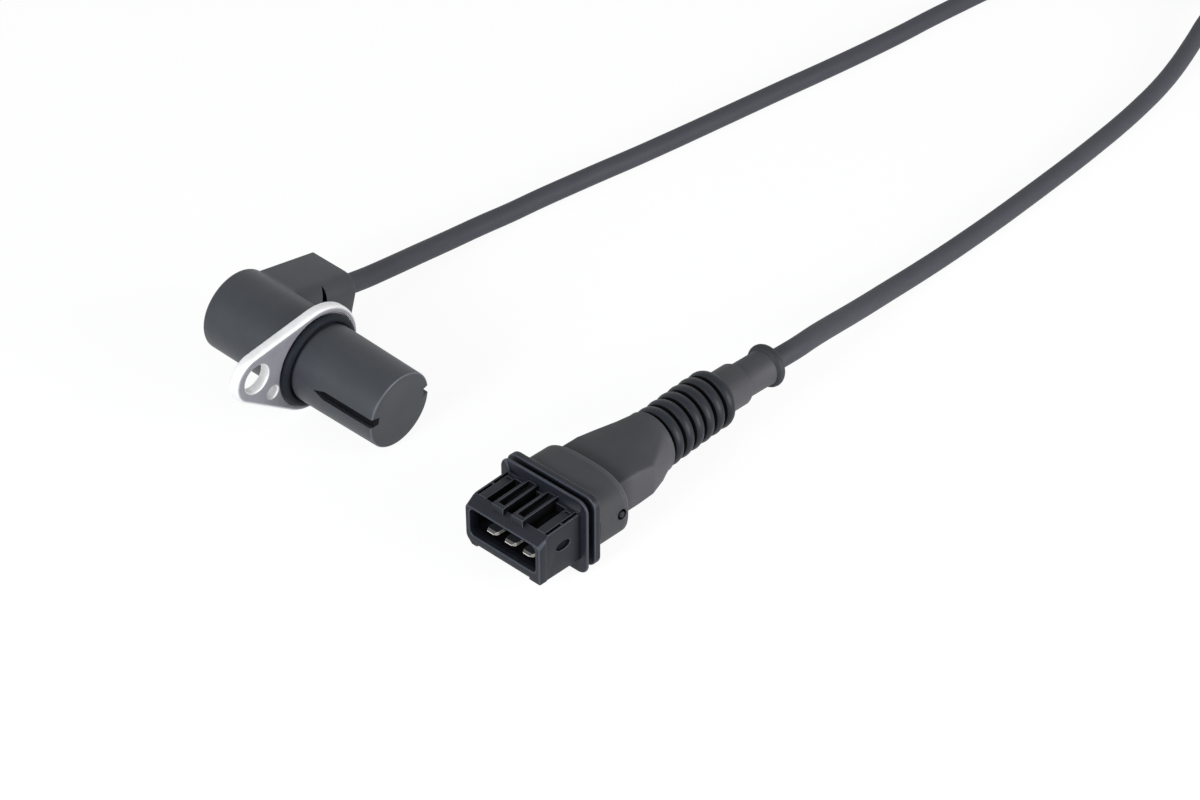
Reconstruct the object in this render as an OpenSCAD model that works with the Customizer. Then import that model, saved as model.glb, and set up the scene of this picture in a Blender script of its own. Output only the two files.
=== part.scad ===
// Crankshaft position sensor: a magnetic pick-up head on a bolted metal flange, a lead and a 3-way tab plug.
// Millimetres, +Z up, lying as it rests on a table: +X runs from the plug's mouth along the plug,
// and the nose of the head points to -Y, dipped and rolled onto its flange and its side block.
// Origin: where the nose's axis meets the rear edge of the nose's round land, next to the rubber ring.

/* [Head] */
// diameter of the round land that centres the nose in the engine block
nose_d = 18.4; // [17:0.1:24]
// diameter of the nose at its tip
tip_d = 17.8; // [16:0.1:18.2]
// length of the land
land_len = 5; // [3:0.1:5.5]
// length of the neck behind the land, where the rubber ring sits
neck_len = 1.6; // [1.5:0.1:2.4]
// depth of the neck under the land
neck_deep = 0.25; // [0.1:0.05:0.6]
// length of the nose in front of the flange
nose_len = 23.9; // [18:0.1:40]
// wall between the coil and the outside of the nose
nose_wall = 2.6; // [2.2:0.1:3]
// wall between the pole pin and the tip of the nose
tip_wall = 1.2; // [0.6:0.1:2]
// bevel round the tip
tip_bevel = 0.3; // [0:0.1:1.2]
// width of each of the two long grooves
groove_w = 2; // [1:0.1:3]
// depth of each groove
groove_depth = 1.3; // [0.6:0.1:1.6]
// length of the grooves from the tip, without their run-out
groove_len = 13.3; // [8:0.1:13.5]
// turn of the grooves about the nose
groove_turn = 11; // [0:1:30]
// diameter of the rear cylinder
rear_d = 19.4; // [18:0.2:26]
// length of the rear cylinder behind the flange
rear_len = 22.5; // [18:0.1:30]
// rounding of the rear cylinder's end
rear_round = 0.8; // [0:0.1:2]

/* [Side block] */
// reach of the block from the nose's axis to its end face
block_reach = 22.4; // [18:0.2:32]
// distance from the flange to the front of the block
block_gap = 7.7; // [5:0.1:9]
// how far the rear cylinder stands back past the block
block_back = 0.7; // [0:0.1:1.5]
// height of the block's top over the nose's axis
block_top = 8.3; // [6:0.1:9]
// depth of the block's underside below the nose's axis
block_low = 7.4; // [5:0.1:8]
// rise of the block toward its end, in degrees
block_rise = 3; // [0:0.5:5]
// rounding of the block's front edges
block_round = 4.2; // [1:0.1:6]
// diameter of the boss round the cable
boss_d = 8; // [6.5:0.1:10]
// length of the boss
boss_len = 2.2; // [1:0.1:4]
// height of the cable over the nose's axis
exit_up = 3; // [0:0.1:4]
// width of the wedge-shaped relief in the block's front edge
relief_w = 2.2; // [0.8:0.1:2.6]
// depth of that relief
relief_deep = 3.2; // [1:0.1:4]

/* [Flange] */
// thickness of the flange
flange_t = 2.5; // [2:0.1:4]
// diameter of its round part
flange_d = 25.3; // [24:0.1:34]
// distance from the nose's axis to the bolt hole
bolt_reach = 18.6; // [17:0.1:24]
// diameter of the bolt hole
bolt_d = 6.7; // [5:0.1:7]
// diameter of the ear round the bolt hole
ear_d = 11.7; // [10:0.1:14]
// diameter of the small locating hole
locate_d = 3; // [1.5:0.1:3.2]
// bore of the flange, filled by the moulding
flange_bore = 16.6; // [15:0.1:17]
// rounding of the flange's edges
flange_edge = 0.4; // [0.1:0.1:0.8]
// thickness of the rubber ring's section
oring_t = 2; // [1.5:0.1:2.4]
// depth of the ring's seat in the flange
oring_seat = 0.6; // [0.3:0.1:1]

/* [Pick-up] */
// diameter of the pole pin
pole_d = 4.4; // [3:0.1:6]
// diameter of the magnet
magnet_d = 8; // [6:0.1:9]
// length of the magnet
magnet_len = 8; // [5:0.5:10]
// length of the winding
winding_len = 14; // [10:0.5:15]
// wall of the former
former_wall = 1; // [0.6:0.1:1.2]
// width of the square terminal pins
terminal_w = 0.6; // [0.4:0.1:0.8]

/* [Lead] */
// diameter of the cable
cable_d = 4.8; // [4:0.1:6]
// diameter of each insulated core
core_d = 1.2; // [0.8:0.1:1.3]
// mean radius of the coil
coil_r = 26; // [20:1:40]
// thickness of the tie
tie_t = 0.6; // [0.4:0.1:1]
// width of the tie
tie_w = 5; // [3:0.5:10]

/* [Plug] */
// width of the plug's mouth
plug_w = 20.6; // [20:0.1:24]
// height of the plug at its collars, without its ribs
plug_h = 11.35; // [11:0.05:14]
// how far the top falls toward the mouth
top_fall = 0.55; // [0:0.05:0.8]
// length of the sloping brow over the mouth
brow_len = 2.8; // [1.4:0.1:3]
// rounding of the top's side edges
top_round = 0.6; // [0.2:0.1:2]
// cut of the bottom corner that keys the plug
key_cut = 1.6; // [1:0.1:2.4]
// height of the feet under the mouth
foot_h = 0.5; // [0.2:0.1:1]
// length of the brim round the mouth
brim_len = 2.1; // [1.4:0.1:3]
// how far the brim stands out at the sides
brim_out = 0.15; // [0.05:0.05:0.4]
// thickness of the mouth's side walls
plug_wall = 1.1; // [0.8:0.1:1.6]
// height of the mouth's floor
mouth_low = 2.4; // [1.6:0.1:3]
// height of the mouth's opening
mouth_h = 6.4; // [5.5:0.1:7]
// depth of the mouth
mouth_depth = 10; // [8:0.1:10.5]
// distance from the mouth to the front collar
collar_at = 11.6; // [11.2:0.1:14]
// thickness of the front collar
lip_t = 0.6; // [0.5:0.1:1.2]
// gap between the two collars
collar_gap = 1.4; // [1:0.1:4]
// thickness of the rear collar
collar_t = 1.6; // [1.2:0.1:4]
// how far the collars stand out at the sides
collar_side = 1.7; // [1:0.1:3]
// how far the collars stand over the top
collar_top = 2.85; // [1:0.05:4]
// how far the collars stand below the bottom
collar_low = 3.6; // [1:0.1:3.6]
// how much shorter the rear collar is at the bottom
collar_lift = 0.9; // [0:0.1:1.5]
// rounding of the collars' corners
collar_round = 2.6; // [0.5:0.1:3.2]
// height of the ribs on the top
rib_h = 1.1; // [0.6:0.1:2]
// width of each rib
rib_w = 3.1; // [2.4:0.1:3.4]
// width of the slot in each rib
rib_slot = 1.8; // [0.8:0.1:2]
// width of each pocket wall's strip along the top
strip_w = 2.15; // [1.5:0.05:2.4]
// width of the thin slots along the top edges
edge_slot = 0.6; // [0.4:0.1:0.8]
// wall outside those slots
edge_wall = 0.4; // [0.3:0.1:0.8]

/* [Contacts] */
// spacing of the contacts
pitch = 5; // [4.8:0.1:5.4]
// width of each tab
tab_w = 2.8; // [2:0.1:3]
// thickness of each tab
tab_t = 0.8; // [0.5:0.1:1]
// height of the tabs over the housing's bottom
tab_up = 4; // [3.6:0.1:4.4]
// distance from the mouth to the tabs' tips
tab_in = 1.7; // [1:0.1:4]
// diameter of the crimp barrels
barrel_d = 2.4; // [1.8:0.1:2.8]
// length of the crimp barrels
barrel_len = 9; // [7:0.5:12]

/* [Boot] */
// length of the skirt over the housing
skirt_len = 8.8; // [6:0.1:10]
// width of the skirt
skirt_w = 23.8; // [22.6:0.1:25]
// height of the skirt
skirt_h = 15.4; // [14.4:0.1:16.4]
// height of the skirt's middle over the housing's bottom
skirt_up = 5.8; // [5.6:0.1:6.6]
// width of the body behind the skirt
body_w = 20.4; // [20:0.1:22]
// height of that body
body_h = 12.4; // [12:0.1:13.6]
// length of the tapering body behind the skirt
taper_len = 19.2; // [16:0.1:28]
// number of rings
rings = 6; // [3:1:8]
// spacing of the rings
ring_pitch = 3.4; // [3.2:0.1:4]
// diameter of the rings
ring_d = 13.3; // [11.8:0.1:15]
// diameter between the rings
ring_root = 10.6; // [9:0.1:11]
// diameter of the sleeve behind the rings
sleeve_d = 9.7; // [8.5:0.1:10]
// length of that sleeve
sleeve_len = 7.3; // [3:0.1:10]
// diameter of the thin sleeve
tail_d = 8.1; // [6.5:0.1:8.4]
// length of the thin sleeve
tail_len = 7.6; // [4:0.1:12]
// diameter of the bead at the end
bead_d = 10.1; // [8.6:0.1:12]
// length of the bead
bead_len = 2.4; // [1.5:0.1:4]
// height of the boot's axis over the housing's bottom
boot_up = 6.9; // [6.6:0.1:7.4]
// diameter of the studs that hold the boot
stud_d = 2.2; // [1.6:0.1:3]

/* [Hidden] */
$fn = 64;

eps = 0.01;
fit = 0.05;

// the head as it lies: turned about Z, dipped onto the nose, rolled onto the block
head_turn = [6.8, 0, 4.8];
head_roll = 14.5;
table_z = -12.57;

// from the flange's front face, where the head is drawn, to the origin at the land's rear edge
home = -head_point([0, -neck_len, 0]);

// the pick-up inside the nose, by its places along the nose's axis
neck_r = nose_d / 2 - neck_deep;
land_end = neck_len + land_len;
cavity_r = nose_d / 2 - nose_wall;
cavity_front = tip_wall - nose_len;
rear_end = flange_t + rear_len;
cap_t = 2;
cap_rim = 1.2;
former_front = 1.2;
winding_front = cavity_front + former_front;
winding_rear = winding_front + winding_len;
former_rear = winding_rear + former_front;
magnet_front = former_rear + 2.4;
magnet_rear = magnet_front + magnet_len;
former_r = cavity_r - 0.1;
core_tube_r = pole_d / 2 + former_wall;
cup_r = magnet_d / 2 + 0.7;
terminal_r = (cup_r + former_r) / 2;

// the cable's axis in the block, and the cores in the cable
block_front = flange_t + block_gap;
block_rear = rear_end - block_back;
exit_y = (block_front + block_rear) / 2;
exit_reach = block_reach + boss_len;
jacket_in = 13;
core_step = core_d + 0.15;
core_up = [exit_up + core_step, exit_up, exit_up - core_step];

function terminal_u(i) = sqrt(terminal_r * terminal_r - core_up[i] * core_up[i]);

// the plug's places along its axis
plug_at = [-13.67, -70.1, -8.95];
lip_rear = collar_at + lip_t;
collar_front = lip_rear + collar_gap;
collar_rear = collar_front + collar_t;
spigot_w = plug_w - 4;
spigot_h = 2 * (boot_up - tab_up + barrel_d / 2 + 1);
spigot_len = 12;
spigot_end = collar_rear + spigot_len;
web_t = 3;
barrel_front = mouth_depth + web_t;
barrel_end = barrel_front + barrel_len;
skirt_end = collar_rear + skirt_len;
taper_end = skirt_end + taper_len;
ring_end = taper_end + rings * ring_pitch;
sleeve_end = ring_end + sleeve_len;
tail_end = sleeve_end + tail_len;
boot_end = tail_end + bead_len;
boot_hollow = taper_end - 4;
plug_jacket_front = boot_hollow;
stud_at = [collar_rear + skirt_len * 0.73, skirt_up + 0.6];
mouth_top = mouth_low + mouth_h;
brow = mouth_top + 0.4;
pocket_floor = mouth_top + 0.6;
rib_y = 0.54 * pitch;
edge_slot_y = plug_w / 2 - brim_out - edge_wall - edge_slot / 2;
strip_in = edge_slot_y - edge_slot / 2 - strip_w;

// the height of the plug's top at a place along it
function top_at(x) = plug_h - top_fall * (collar_at - x) / (collar_at - brow_len);

// the coil on the table beyond the two runs
coil_at = [322, -14];
coil_low = table_z + tie_t + cable_d / 2;
coil_high = coil_low + cable_d;
stub = 18;

// where the two runs start and end
head_exit = head_point([exit_reach, exit_y, exit_up]);
head_dir = head_point([1, 0, 0]);
plug_exit = plug_at + [boot_end, 0, boot_up];
coil_in = [coil_at[0] - stub, coil_at[1] + coil_r, coil_low];
coil_out = [coil_at[0] - stub, coil_at[1] - coil_r, coil_high];

// points that the cable follows from the block to the coil
head_route = [
    [32, 21, -3.4], [41, 22.3, -5], [52, 24, -6.9], [62, 25.2, -8.4], [73, 25.8, -9.4], [83, 25.7, -10],
    [93, 25.3, -10.1], [103, 24.5, -10.1], [113, 23.6, -10.1], [123, 22.6, -10.1], [133, 21.8, -10.1],
    [143, 21.1, -10.1], [154, 20.4, -10.1], [165, 19.7, -10.1], [176, 19, -10.1], [187, 18.2, -10.1],
    [199, 17.4, -10.1], [211, 16.8, -10.1], [223, 16.4, -10.1], [236, 16.3, -10.1], [249, 15.9, -10.1],
    [262, 15.2, -10], [275, 14, -9.9], [288, 12.8, -9.7], [297, 12.2, -9.6]];

// points that the cable follows from the plug to the coil
plug_route = [
    [76, -69.2, -2.1], [84, -68, -3.2], [92, -66.6, -4.8], [100, -65.3, -6.4], [108, -64.1, -7.8],
    [117, -63, -9], [127, -62.3, -9.8], [138, -61.9, -10.1], [150, -61.5, -10.1], [162, -60.9, -10.1],
    [174, -60.1, -10.1], [186, -59.2, -10.1], [198, -58.2, -10.1], [210, -57, -10.1], [222, -55.6, -10.1],
    [234, -53.8, -10.1], [246, -51.6, -10], [258, -48.8, -9.6], [270, -45.6, -8.6], [282, -42.4, -7],
    [294, -40.4, -5.4]];

function turn_x(p, a) = [p[0], p[1] * cos(a) - p[2] * sin(a), p[1] * sin(a) + p[2] * cos(a)];
function turn_y(p, a) = [p[0] * cos(a) + p[2] * sin(a), p[1], p[2] * cos(a) - p[0] * sin(a)];
function turn_z(p, a) = [p[0] * cos(a) - p[1] * sin(a), p[0] * sin(a) + p[1] * cos(a), p[2]];
function head_point(p) = turn_z(turn_x(turn_y(p, head_roll), head_turn[0]), head_turn[2]);
function unit(p) = p / norm(p);

module head_pose() {
    translate(home) rotate(head_turn) rotate([0, head_roll, 0]) children();
}

module plug_pose() {
    translate(home + plug_at) children();
}

// a cylinder round the nose's axis between two places along it
module nose_cyl(y0, y1, r) {
    translate([0, y1, 0]) rotate([90, 0, 0]) cylinder(h = y1 - y0, r = r);
}

// a revolved profile whose points are [radius, place along the nose's axis]
module nose_turned(profile) {
    rotate([90, 0, 0]) rotate_extrude() polygon([for (p = profile) [p[0], -p[1]]]);
}

// a cylinder across the head toward the cable, at a height and a place along the nose's axis
module reach_cyl(u0, u1, y, w, d) {
    translate([u0, y, w]) rotate([0, 90, 0]) cylinder(h = u1 - u0, d = d);
}

// a cylinder along the plug's axis
module plug_cyl(x0, x1, y, z, d) {
    translate([x0, y, z]) rotate([0, 90, 0]) cylinder(h = x1 - x0, d = d);
}

// a plate across the plug with rounded corners
module plug_plate(x0, x1, w, z0, z1, r) {
    translate([x0, 0, 0]) rotate([90, 0, 90]) linear_extrude(x1 - x0)
        translate([0, (z0 + z1) / 2]) rounded(w, z1 - z0, r);
}

// a rectangle with rounded corners
module rounded(w, h, r) {
    square([w - 2 * r, h], center = true);
    square([w, h - 2 * r], center = true);
    for (sx = [-1, 1], sy = [-1, 1])
        translate([sx * (w / 2 - r), sy * (h / 2 - r)]) circle(r);
}

// two half circles joined by a straight part, standing up
module stadium(w, h) {
    square([w, h - w], center = true);
    for (side = [-1, 1])
        translate([0, side * (h - w) / 2]) circle(d = w, $fn = 32);
}

// a tube through a list of points, square to the given directions at its ends
module tube(points, start_dir, end_dir, d) {
    sides = 10;
    last = len(points) - 1;
    rings = [for (i = [0 : last])
        let (dir = i == 0 ? start_dir : i == last ? end_dir : unit(points[i + 1] - points[i - 1]),
             side = unit(cross(dir, [0, 0, 1])), up = cross(side, dir))
        [for (k = [0 : sides - 1])
            points[i] + d / 2 * (cos(k * 360 / sides) * side + sin(k * 360 / sides) * up)]];
    polyhedron(
        points = [for (ring = rings) each ring],
        faces = [
            [for (k = [0 : sides - 1]) k],
            [for (k = [sides - 1 : -1 : 0]) last * sides + k],
            for (i = [0 : last - 1], k = [0 : sides - 1])
                let (next = (k + 1) % sides)
                [i * sides + k, (i + 1) * sides + k, (i + 1) * sides + next, i * sides + next]]);
}

// Head

// one of the two long grooves, with a pointed run-out toward the flange
module nose_groove() {
    floor_r = nose_d / 2 - groove_depth;
    run_out = 3;
    rotate([90, 0, 0]) translate([0, 0, nose_len - groove_len])
        linear_extrude(groove_len + 1) translate([floor_r, -groove_w / 2])
            square([groove_depth + 1, groove_w]);
    translate([0, groove_len - nose_len, 0]) rotate([90, 0, 90]) translate([0, 0, floor_r])
        linear_extrude(groove_depth + 1)
            polygon([[-eps, -groove_w / 2], [run_out, 0], [-eps, groove_w / 2]]);
}

// the block's section along the nose's axis: round at the front, square at the rear
module block_section() {
    r = block_round;
    translate([block_front + r, -block_low]) square([block_rear - block_front - r, block_top + block_low]);
    translate([block_front, r - block_low]) square([r + eps, block_top + block_low - 2 * r]);
    for (w = [block_top - r, r - block_low])
        translate([block_front + r, w]) circle(r);
}

module sensor_body() color([0.28, 0.28, 0.3]) head_pose() difference() {
    union() {
        nose_turned([[0, -nose_len], [tip_d / 2 - tip_bevel, -nose_len], [tip_d / 2, tip_bevel - nose_len],
            [nose_d / 2, -land_end], [nose_d / 2, -neck_len], [neck_r, -neck_len],
            [neck_r, 0], [flange_bore / 2, 0], [flange_bore / 2, flange_t], [rear_d / 2, flange_t],
            [rear_d / 2, rear_end - rear_round], [rear_d / 2 - rear_round, rear_end], [0, rear_end]]);
        rotate([0, -block_rise, 0]) rotate([90, 0, 90]) linear_extrude(block_reach) block_section();
        reach_cyl(block_reach - 1, exit_reach, exit_y, exit_up, boss_d);
    }
    nose_cyl(cavity_front, rear_end + 1, cavity_r);
    nose_cyl(rear_end - cap_t, rear_end + 1, cavity_r + cap_rim);
    for (side = [0, 180])
        rotate([0, side - groove_turn, 0]) nose_groove();
    translate([block_reach / 2, block_front - eps, block_top - 5]) linear_extrude(8)
        polygon([[-relief_w / 2, -1], [relief_w / 2, -1], [relief_w / 2, relief_deep], [-relief_w / 2, 0]]);
    reach_cyl(jacket_in, exit_reach + 1, exit_y, exit_up, cable_d);
    for (w = core_up)
        reach_cyl(0, jacket_in + eps, exit_y, w, core_d);
}

module flange_outline(grow) {
    hull() {
        circle(d = flange_d + 2 * grow, $fn = 96);
        translate([-bolt_reach, 0]) circle(d = ear_d + 2 * grow, $fn = 48);
    }
}

// the plate is drawn flat in the head's X and Z and stood up across the nose
module mounting_flange() color([0.78, 0.78, 0.82]) head_pose() difference() {
    rotate([90, 0, 0]) translate([0, 0, -flange_t]) {
        linear_extrude(flange_edge) flange_outline(-flange_edge / 2);
        translate([0, 0, flange_edge]) linear_extrude(flange_t - 2 * flange_edge) flange_outline(0);
        translate([0, 0, flange_t - flange_edge]) linear_extrude(flange_edge) flange_outline(-flange_edge / 2);
    }
    nose_cyl(-1, flange_t + 1, flange_bore / 2);
    nose_cyl(-1, oring_seat, neck_r + oring_t + 0.3);
    translate([-bolt_reach, flange_t + 1, 0]) rotate([90, 0, 0]) cylinder(h = flange_t + 2, d = bolt_d);
    translate([-bolt_reach * 0.67, flange_t + 1, -bolt_reach * 0.26]) rotate([90, 0, 0])
        cylinder(h = flange_t + 2, d = locate_d);
}

module o_ring() color([0.12, 0.13, 0.16]) head_pose()
    translate([0, oring_seat - oring_t / 2, 0]) rotate([90, 0, 0]) rotate_extrude()
        translate([neck_r + fit + oring_t / 2, 0]) circle(d = oring_t, $fn = 32);

module rear_cap() color([0.26, 0.26, 0.28]) head_pose()
    nose_cyl(rear_end - cap_t, rear_end - 0.2, cavity_r + cap_rim - fit);

module pole_pin() color([0.6, 0.6, 0.62]) head_pose()
    nose_cyl(cavity_front, magnet_front, pole_d / 2);

module magnet() color([0.35, 0.35, 0.38]) head_pose()
    nose_cyl(magnet_front, magnet_rear, magnet_d / 2);

module terminal_holes() {
    for (i = [0 : 2])
        translate([terminal_u(i) - terminal_w / 2, winding_rear - 1, core_up[i] - terminal_w / 2])
            cube([terminal_w, rear_end, terminal_w]);
}

module coil_bobbin() color([0.85, 0.82, 0.7]) head_pose() difference() {
    nose_turned([[pole_d / 2, cavity_front], [former_r, cavity_front], [former_r, winding_front],
        [core_tube_r, winding_front], [core_tube_r, winding_rear], [former_r, winding_rear],
        [former_r, former_rear], [cup_r, former_rear], [cup_r, magnet_rear], [magnet_d / 2, magnet_rear],
        [magnet_d / 2, magnet_front], [pole_d / 2, magnet_front]]);
    terminal_holes();
}

module coil_winding() color([0.72, 0.42, 0.2]) head_pose()
    nose_turned([[core_tube_r, winding_front], [former_r - 0.4, winding_front],
        [former_r - 0.4, winding_rear], [core_tube_r, winding_rear]]);

// a square pin held in the former's rear cheek, up to the core that meets its side
module terminal(i) color([0.8, 0.78, 0.7]) head_pose()
    translate([terminal_u(i) - terminal_w / 2, winding_rear, core_up[i] - terminal_w / 2])
        cube([terminal_w, exit_y + core_d / 2 - winding_rear, terminal_w]);

module terminal_signal() terminal(0);

module terminal_ground() terminal(2);

module terminal_screen() terminal(1);

module core_bore(i) {
    reach_cyl(terminal_u(i) + terminal_w / 2, jacket_in, exit_y, core_up[i], core_d);
}

module potting() color([0.2, 0.2, 0.22]) head_pose() difference() {
    nose_turned([[cup_r, former_rear], [cavity_r, former_rear], [cavity_r, rear_end - cap_t],
        [0, rear_end - cap_t], [0, magnet_rear], [cup_r, magnet_rear]]);
    for (i = [0 : 2]) {
        translate([terminal_u(i) - terminal_w / 2, former_rear - 1, core_up[i] - terminal_w / 2])
            cube([terminal_w, exit_y + core_d / 2 - former_rear + 1, terminal_w]);
        core_bore(i);
    }
}

module head_core(i, tint) color(tint) head_pose() core_bore(i);

module head_core_signal() head_core(0, [0.7, 0.6, 0.2]);

module head_core_ground() head_core(2, [0.25, 0.2, 0.18]);

module head_core_screen() head_core(1, [0.75, 0.75, 0.75]);

module head_jacket_end() color([0.3, 0.3, 0.33]) head_pose()
    reach_cyl(jacket_in, exit_reach, exit_y, exit_up, cable_d);

// Lead

module cable_head() color([0.3, 0.3, 0.33]) translate(home)
    tube(concat([head_exit], head_route, [coil_in]), head_dir, [1, 0, 0], cable_d);

module cable_plug() color([0.3, 0.3, 0.33]) translate(home)
    tube(concat([plug_exit], plug_route, [coil_out]), [1, 0, 0], [1, 0, 0], cable_d);

// two turns lying on each other, with a straight stub to each run
module cable_coil() color([0.3, 0.3, 0.33]) translate(home) {
    translate([coil_at[0], coil_at[1], (coil_low + coil_high) / 2]) rotate_extrude($fn = 72)
        translate([coil_r, 0]) stadium(cable_d, 2 * cable_d);
    for (end = [coil_in, coil_out])
        plug_cyl(end[0], coil_at[0] - 3, end[1], end[2], cable_d - 0.2);
}

module coil_tie() color([0.15, 0.15, 0.16]) translate(home + [coil_at[0], coil_at[1], 0]) {
    half = atan(tie_w / 2 / coil_r);
    rotate([0, 0, -half]) rotate_extrude(angle = 2 * half) translate([coil_r, (coil_low + coil_high) / 2])
        difference() {
            stadium(cable_d + 2 * tie_t, 2 * cable_d + 2 * tie_t);
            stadium(cable_d, 2 * cable_d);
        }
}

// Plug

// the housing's outline across the plug, with one bottom corner cut as a key
module housing_section() {
    difference() {
        translate([0, plug_h / 2]) rounded(plug_w, plug_h, top_round);
        translate([plug_w / 2, 0]) rotate(45) square(key_cut * sqrt(2), center = true);
    }
    translate([-plug_w / 2, 0]) square([top_round + 1, top_round + 1]);
}

// the housing's front part: a brow that slopes up from the mouth, a top that rises to the collars, two feet
module housing_shell() {
    over = 1;
    difference() {
        rotate([90, 0, 90]) linear_extrude(collar_at + eps) housing_section();
        rotate([90, 0, 0]) linear_extrude(2 * plug_w, center = true)
            polygon([[-over, brow], [0, brow], [brow_len, top_at(brow_len)],
                [collar_at + over, top_at(collar_at + over)], [collar_at + over, plug_h + over],
                [-over, plug_h + over]]);
        translate([-over, pitch - plug_w / 2 - 2, -over])
            cube([collar_at, plug_w - 2 * pitch + 4, over + foot_h]);
        for (side = [0, 1])
            mirror([0, side, 0]) translate([brim_len, plug_w / 2 - brim_out, -over])
                cube([collar_at, over, plug_h + 2 * over]);
    }
}

// one rib as a closed loop round a slot, standing over the top's slope
module plug_rib(y) {
    front = 1.6;
    end_wall = 1.1;
    rear_wall = 0.4;
    difference() {
        translate([0, y + rib_w / 2, 0]) rotate([90, 0, 0]) linear_extrude(rib_w)
            polygon([[front, brow - eps], [collar_at + eps, brow - eps],
                [collar_at + eps, top_at(collar_at) + rib_h], [front, top_at(front) + rib_h]]);
        translate([front + end_wall, y - rib_slot / 2, pocket_floor])
            cube([collar_at - front - end_wall - rear_wall, rib_slot, plug_h]);
    }
}

// pockets between the ribs and the strips, the thin slots along the top edges, and a nick in each strip
module top_pockets() {
    pocket_end = 10.8;
    slot_end = 11.3;
    bridge = 0.5;
    bridge_at = (brow_len + slot_end) / 2;
    nick_at = 9.8;
    nick_w = 1.2;
    nick_deep = 0.25;
    for (side = [-1, 1]) {
        lo = rib_y + rib_w / 2;
        translate([brow_len, side * (lo + strip_in) / 2 - (strip_in - lo) / 2, pocket_floor])
            cube([pocket_end - brow_len, strip_in - lo, plug_h]);
        for (run = [[brow_len, bridge_at - bridge / 2], [bridge_at + bridge / 2, slot_end]])
            translate([run[0], side * edge_slot_y - edge_slot / 2, pocket_floor])
                cube([run[1] - run[0], edge_slot, plug_h]);
        translate([nick_at, side * (strip_in + strip_w / 2) - nick_w / 2, top_at(nick_at) - nick_deep])
            cube([0.5, nick_w, plug_h]);
    }
    translate([brow_len, rib_w / 2 - rib_y, pocket_floor])
        cube([pocket_end - brow_len, 2 * rib_y - rib_w, plug_h]);
}

module plug_housing() color([0.2, 0.21, 0.24]) plug_pose() difference() {
    union() {
        difference() {
            housing_shell();
            top_pockets();
        }
        for (side = [-1, 1])
            plug_rib(side * rib_y);
        plug_plate(collar_at, lip_rear, plug_w + 2 * collar_side, -collar_low, plug_h + collar_top, collar_round);
        plug_plate(lip_rear - eps, collar_front + eps, plug_w, 0, plug_h, 2);
        plug_plate(collar_front, collar_rear, plug_w + 2 * collar_side + 0.5, collar_lift - collar_low,
            plug_h + collar_top, collar_round);
        plug_plate(collar_rear - eps, spigot_end, spigot_w, boot_up - spigot_h / 2, boot_up + spigot_h / 2, 2.5);
        for (side = [0, 1])
            mirror([0, side, 0]) translate([stud_at[0], spigot_w / 2 - eps, stud_at[1]]) rotate([-90, 0, 0])
                cylinder(h = (skirt_w - spigot_w) / 2 + 0.2, d = stud_d);
    }
    plug_plate(-1, mouth_depth, plug_w - 2 * plug_wall, mouth_low, mouth_low + mouth_h, 1.2);
    for (side = [-1, 1])
        translate([6.8, side * plug_w / 2, 6.2]) rotate([90, 0, 0]) scale([1.5, 0.8, 1])
            cylinder(h = 1.6, d = 2.6, center = true);
    for (i = [-1 : 1]) {
        translate([mouth_depth - 1, i * pitch - tab_w / 2, tab_up - tab_t / 2]) cube([web_t + 2, tab_w, tab_t]);
        plug_cyl(barrel_front, spigot_end + 1, i * pitch, tab_up, barrel_d + 0.6);
    }
}

// a flat tab with a bevelled tip, drawn out into a round crimp barrel that holds the core
module contact(i) color([0.84, 0.8, 0.74]) plug_pose() translate([0, i * pitch, tab_up]) difference() {
    union() {
        translate([0, 0, -tab_t / 2]) linear_extrude(tab_t) polygon([[tab_in, 0.5 - tab_w / 2],
            [tab_in + 1, -tab_w / 2], [barrel_front, -tab_w / 2], [barrel_front, tab_t - barrel_d / 2],
            [barrel_front + 2, tab_t - barrel_d / 2], [barrel_front + 2, barrel_d / 2 - tab_t],
            [barrel_front, barrel_d / 2 - tab_t], [barrel_front, tab_w / 2],
            [tab_in + 1, tab_w / 2], [tab_in, tab_w / 2 - 0.5]]);
        plug_cyl(barrel_front, barrel_end, 0, 0, barrel_d);
    }
    for (side = [-1, 1])
        translate([tab_in, 0, side * 0.12]) rotate([0, -side * 25, 0])
            translate([-1, -tab_w, side > 0 ? 0 : -1]) cube([3, 2 * tab_w, 1]);
    plug_cyl(barrel_end - 5, barrel_end + 1, 0, 0, core_d);
}

module contact_1() contact(1);

module contact_2() contact(0);

module contact_3() contact(-1);

// places in the jacket's end where the cores come out
function core_out(i) = [plug_jacket_front, i * core_step, boot_up];

// one core: straight out of the crimp, across to the cable, straight into the jacket's end
module plug_core(i, tint) color(tint) plug_pose() {
    start = [barrel_end - 5, i * pitch, tab_up];
    bend = [spigot_end + 0.5, i * pitch, tab_up];
    last = core_out(i);
    tube([start, bend, last - [1.5, 0, 0], last], [1, 0, 0], [1, 0, 0], core_d);
}

module plug_core_1() plug_core(1, [0.7, 0.6, 0.2]);

module plug_core_2() plug_core(0, [0.25, 0.2, 0.18]);

module plug_core_3() plug_core(-1, [0.75, 0.75, 0.75]);

module plug_jacket_end() color([0.3, 0.3, 0.33]) plug_pose()
    plug_cyl(plug_jacket_front, boot_end, 0, boot_up, cable_d);

// points round an oval whose sides are the flatter, the higher its power
function oval(w, h, power) = [for (i = [0 : 47]) let (c = cos(i * 7.5), s = sin(i * 7.5))
    [w / 2 * sign(c) * pow(abs(c), 2 / power), h / 2 * sign(s) * pow(abs(s), 2 / power)]];

// a thin oval slice across the boot at a place along it
module boot_slice(x, w, h, up, power) {
    translate([x, 0, up]) rotate([90, 0, 90]) linear_extrude(0.1) polygon(oval(w, h, power));
}

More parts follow.
